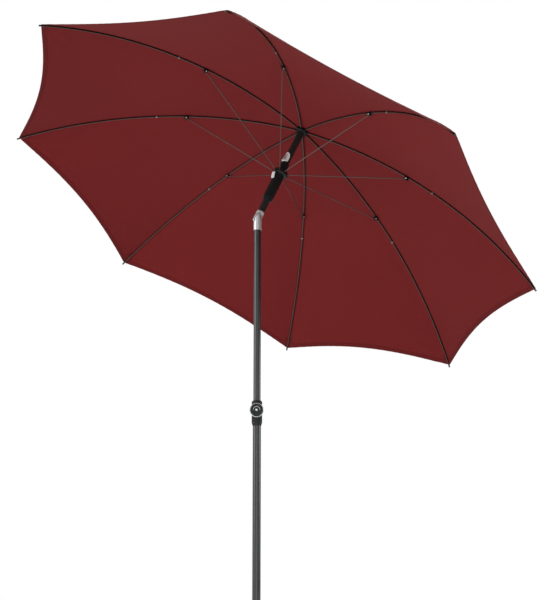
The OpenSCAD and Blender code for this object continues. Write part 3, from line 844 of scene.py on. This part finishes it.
def height_knob_grip():
    """A fluted wheel with a dished face, from a profile of (outward, radius, share of the fluting)."""
    profile = [
        (24.8, 0, 0), (24.8, 9.6, 0), (25.2, 10, 0), (27.3, 10, 0), (27.5, 20.5, 0), (28.4, 21.8, 0.3),
        (29.5, 22, 1), (36, 22, 1), (40.6, 21.9, 1), (41.8, 21.4, 0.4), (42.6, 20.4, 0), (43.2, 18.5, 0),
        (43.5, 16.5, 0), (43.5, 14.8, 0), (43.0, 14.3, 0), (42.6, 14.0, 0), (42.6, 7.2, 0), (43.0, 6.8, 0),
        (43.6, 6.2, 0), (44.0, 5.2, 0), (44.2, 4.9, 0), (43.6, 4.5, 0), (43.4, 0, 0)
    ]
    flutes, flute_depth = 48, 0.5
    angles = full_turn(240)
    flute = flute_depth * (0.5 + 0.5 * np.cos(flutes * angles))
    shape = Shape()
    rings = []
    for out, r, share in profile:
        radius = max(r, shape.POINT_R) - share * flute
        ring = radius[:, None] * circle(angles, KNOB_ACROSS, KNOB_UP)
        rings.append(KNOB_CENTRE + out * KNOB_OUT + ring)
    shape.loft(rings)
    piece(shape.done("height_knob_grip", sharp=40), "height_clamp", "black_plastic", replaced=["height_knob"])


def knob_inlay():
    """A plain dome in the knob's middle, under a bent strip."""
    shape = Shape()
    dome = [(42.4, 0), (42.4, 4.2), (43.9, 4.2), (44.4, 3.6), (44.8, 2.5), (45.0, 1.2), (45.05, 0)]
    shape.turned(dome, KNOB_CENTRE, KNOB_OUT, KNOB_UP, 40)
    strip = []
    for turn in np.radians(np.linspace(-98, 98, 41)):
        outward = math.sin(turn) * KNOB_ACROSS + math.cos(turn) * KNOB_UP
        half_w = 0.9 * (0.35 + 0.65 * math.cos(turn * 0.9) ** 0.5)
        middle = KNOB_CENTRE + 42.7 * KNOB_OUT + 11.4 * outward
        strip.append(middle + circle(full_turn(12), half_w * outward, 0.7 * KNOB_OUT))
    shape.loft(strip)
    piece(shape.done("knob_inlay", sharp=50), "height_clamp", "silver_trim")


def collar_grip():
    """Raised beads round the collar, short where the knob stands over them."""
    count, collar_r = 40, 17.45
    shape = Shape()
    for turn in (np.arange(count) + 0.5) * 2 * math.pi / count:
        out = np.array([math.cos(turn), math.sin(turn), 0])
        beside = np.array([-math.sin(turn), math.cos(turn), 0])
        top = 54.0 if out @ KNOB_OUT < 0.72 else 35.0
        stations = ((10.5, 0.1), (11.2, 0.7), (12.5, 1.0), (top - 2, 1.0), (top - 0.7, 0.7), (top, 0.1))
        rings = []
        for z, size in stations:
            middle = np.array([0, 0, COLLAR_BOTTOM + z]) + collar_r * out
            rings.append(middle + circle(full_turn(10), 0.9 * size * beside, 0.65 * size * out))
        shape.loft(rings)
    piece(shape.done("collar_grip", sharp=60), "pole", "black_plastic")


height_knob_grip()
knob_inlay()
collar_grip()


# ---- The spring behind the runner's button ----

def button_coil():
    """A coil of 3.6 turns between the floor of the button's pocket and the button."""
    turns, steps, coil_r, wire_r = 3.6, 24, 2.6, 0.45
    # The button's face from the middle of the runner, and the pocket's depth behind it, as in the CAD source
    face_out, face_up, pocket_depth = -22.75, -24.75, 4.8
    press = joint_axis("runner_button_press")
    face = HUB + RUNNER_DROP * MM * UP + (face_out * np.cross(ACROSS, UP) + face_up * UP) * MM
    floor_point = face + pocket_depth * MM * press
    up_lever = np.cross(ACROSS, press)
    rings = []
    for turn in np.arange(0, turns * steps + 1) / steps:
        around = math.cos(turn * 2 * math.pi) * up_lever + math.sin(turn * 2 * math.pi) * ACROSS
        # The first and last turns lie flat
        height = 0.5 + 3.3 * smooth(0.3, turns - 0.3, turn)
        centre = floor_point / MM - height * press + coil_r * around
        rings.append(centre + wire_r * circle(full_turn(8), around, -press))
    shape = Shape()
    shape.loft(rings)
    coil = piece(shape.done("button_coil"), "slider", "zinc_steel", replaced=["button_spring"])
    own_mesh(coil)


button_coil()


# ---- Crown patch ----

def crown_patch():
    """A round of cloth over the eight seams, held down by the finial."""
    # Twelve columns to a spoke
    turns = np.arange(0, len(SPOKES), 1 / 12)
    spokes = np.round(turns)
    r = np.linspace(25, 64, 14)[:, None]
    t = (turns - spokes)[None, :]
    x = r * (1 - np.abs(t) * (1 - math.cos(STEP)))
    y = r * t * math.sin(STEP)
    angle = STEP * spokes[None, :]
    out = x * np.cos(angle) - y * np.sin(angle)
    across = x * np.sin(angle) + y * np.cos(angle)
    grids = []
    for lift in (5.9, 6.35):
        z = (rib_rise(r) + lift / np.cos(rib_slope(r))) * np.ones_like(t)
        grid = np.stack([out, across, z], axis=-1)
        grids.append(np.concatenate([grid, grid[:, :1]], axis=1))
    shape = Shape()
    shape.shell(grids[0], grids[1], grids[0][:, :, :2] * MM)
    crown = piece(shape.done("crown_patch", 1, sharp=50), "head", "canopy_cloth", "shaded_hem_cloth")


crown_patch()


# ---- Floor, light and camera ----

def plain_floor():
    radius, sink = 5.5, 0.0002
    rim = [(radius * math.cos(a), radius * math.sin(a), -sink) for a in full_turn(96)]
    floor = build("floor", rim, [list(range(len(rim)))])
    m = Material("floor_white", rough=0.8, Specular_IOR_Level=0.2, Emission_Strength=0.3)
    m.shader.inputs["Emission Color"].default_value = (1, 1, 1, 1)
    m.finish(m.ramp(m.noise(3.0), (0.3, (0.79, 0.79, 0.79)), (0.7, (0.82, 0.82, 0.82))))
    floor.data.materials.append(m.material)


def area_light(name, place, aim, size, power):
    lamp = bpy.data.lights.new(name, "AREA")
    lamp.shape = "DISK"
    lamp.size = size
    lamp.energy = power
    obj = bpy.data.objects.new(name, lamp)
    obj.location = place
    obj.rotation_euler = (aim - place).to_track_quat("-Z", "Y").to_euler()
    obj.visible_camera = False
    bpy.context.scene.collection.objects.link(obj)


def studio_world():
    """White behind the object, and a softer room for its light: paler above than below."""
    world = bpy.data.worlds.new("studio")
    bpy.context.scene.world = world
    world.use_nodes = True
    tree = world.node_tree
    white = tree.nodes["Background"]
    white.inputs["Color"].default_value = (1, 1, 1, 1)
    room = tree.nodes.new("ShaderNodeBackground")
    height = tree.nodes.new("ShaderNodeSeparateXYZ")
    tree.links.new(tree.nodes.new("ShaderNodeTexCoord").outputs["Generated"], height.inputs[0])
    shade = tree.nodes.new("ShaderNodeMapRange")
    for socket, value in (("From Min", -0.4), ("From Max", 0.6), ("To Min", 0.5), ("To Max", 0.88)):
        shade.inputs[socket].default_value = value
    tree.links.new(height.outputs["Z"], shade.inputs["Value"])
    tree.links.new(shade.outputs["Result"], room.inputs["Strength"])
    seen = tree.nodes.new("ShaderNodeLightPath")
    mix = tree.nodes.new("ShaderNodeMixShader")
    tree.links.new(seen.outputs["Is Camera Ray"], mix.inputs["Fac"])
    tree.links.new(room.outputs[0], mix.inputs[1])
    tree.links.new(white.outputs[0], mix.inputs[2])
    tree.links.new(mix.outputs[0], tree.nodes["World Output"].inputs["Surface"])


# The camera looks along -BACK, slightly upward, past the tilt joint
AIM = Vector(PIVOT)
BACK = Vector((-0.5685, -0.7962, -0.2072)).normalized()
RIGHT = Vector((0, 0, 1)).cross(BACK).normalized()
RISE = BACK.cross(RIGHT)


def studio_lights():
    """Four soft lights: one on each side of the camera's view, one under the canopy and one above."""
    toward = Vector((BACK.x, BACK.y, 0)).normalized()
    area_light("left_softbox", AIM - RIGHT * 3.0 + toward * 1.0 + Vector((0, 0, 0.2)), AIM, 2.8, 75)
    area_light("right_softbox", AIM + RIGHT * 3.2 + toward * 0.3 + Vector((0, 0, -0.2)), AIM, 1.4, 30)
    area_light("front_fill", AIM + toward * 3.6 + Vector((0, 0, -0.9)), AIM + Vector((0, 0, 0.4)), 3.0, 45)
    area_light("top_light", AIM + Vector((0.3, 0.2, 4.2)), AIM, 4.0, 130)


def place_camera():
    camera_data = bpy.data.cameras.new("camera")
    camera_data.lens = 81.49
    camera_data.sensor_width = 36
    camera = bpy.data.objects.new("camera", camera_data)
    turn = Matrix((RIGHT, RISE, BACK)).transposed().to_4x4()
    camera.matrix_world = Matrix.Translation(AIM + BACK * 4.804 + RIGHT * 0.0706 - RISE * 0.2891) @ turn
    bpy.context.scene.collection.objects.link(camera)
    bpy.context.scene.camera = camera


plain_floor()
studio_world()
studio_lights()
place_camera()
bpy.context.scene.view_settings.view_transform = "Standard"
